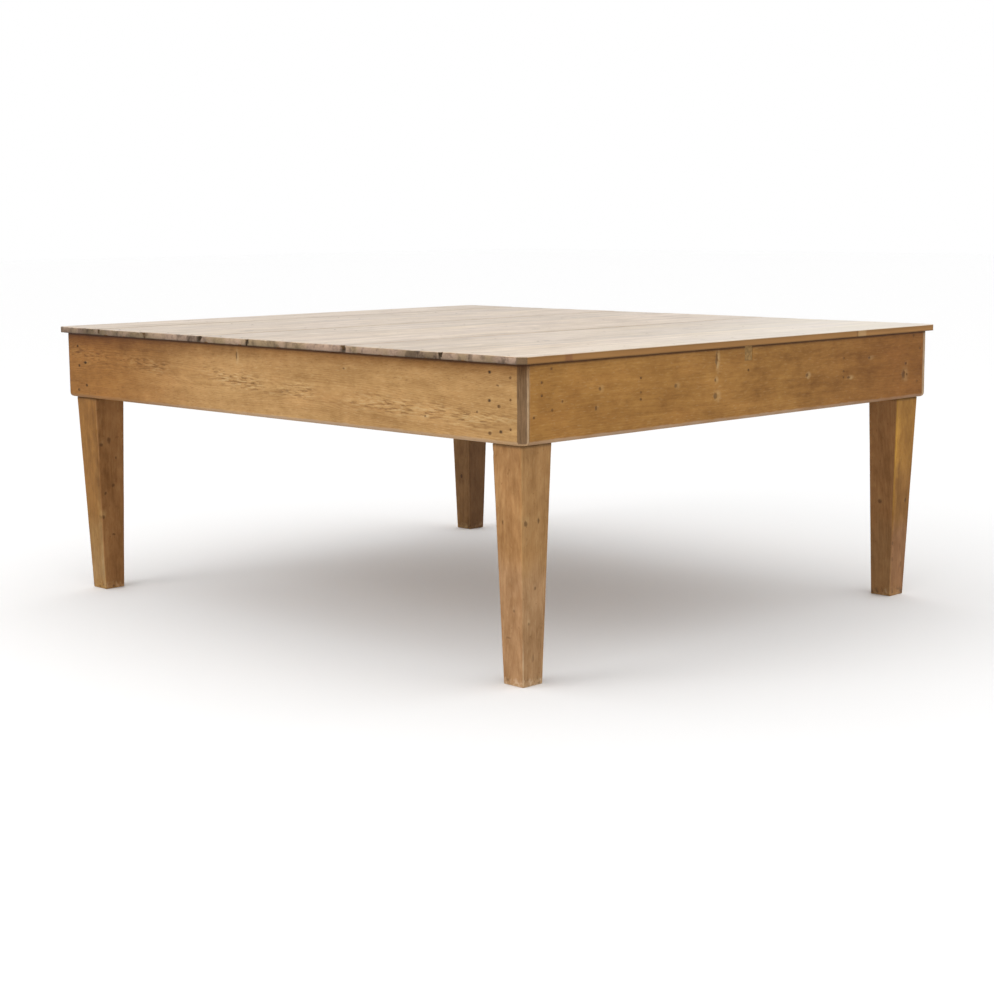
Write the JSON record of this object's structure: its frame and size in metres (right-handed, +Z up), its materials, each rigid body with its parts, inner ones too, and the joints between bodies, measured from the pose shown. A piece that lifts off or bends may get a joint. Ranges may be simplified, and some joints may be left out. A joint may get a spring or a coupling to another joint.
{
  "type": "work table",
  "caption": "Large pine work table: wide tongued boards on deep nailed aprons, cross bearers and tapered square legs.",
  "frame": {"origin": "on the floor, under the middle of the table", "axes": "+X along the front (the longest side), +Y from front to back, +Z up"},
  "size_m": [1.922, 1.68, 0.78],
  "materials": {
    "waxed_pine": "old wax, satin",
    "scrubbed_pine": "scrubbed and worn, dull satin",
    "raw_pine": "unfinished, sawn",
    "iron": "dark, rusted"
  },
  "bodies": {
    "root": {"leg_front_left": "waxed_pine", "leg_front_right": "waxed_pine", "leg_back_left": "waxed_pine", "leg_back_right": "waxed_pine", "apron_front": "waxed_pine", "apron_back": "waxed_pine", "apron_left": "waxed_pine", "apron_right": "waxed_pine", "top_board_1": "scrubbed_pine", "top_board_2": "scrubbed_pine", "top_board_3": "scrubbed_pine", "top_board_4": "scrubbed_pine", "top_board_5": "scrubbed_pine", "top_board_6": "scrubbed_pine", "top_board_7": "scrubbed_pine", "bearer_front": "raw_pine", "bearer_centre": "raw_pine", "bearer_back": "raw_pine", "apron_nails_front": "iron", "apron_nails_back": "iron", "apron_nails_right": "iron", "apron_nails_left": "iron", "bearer_nails": "iron", "board_nails": "iron"}
  },
  "joints": []
}
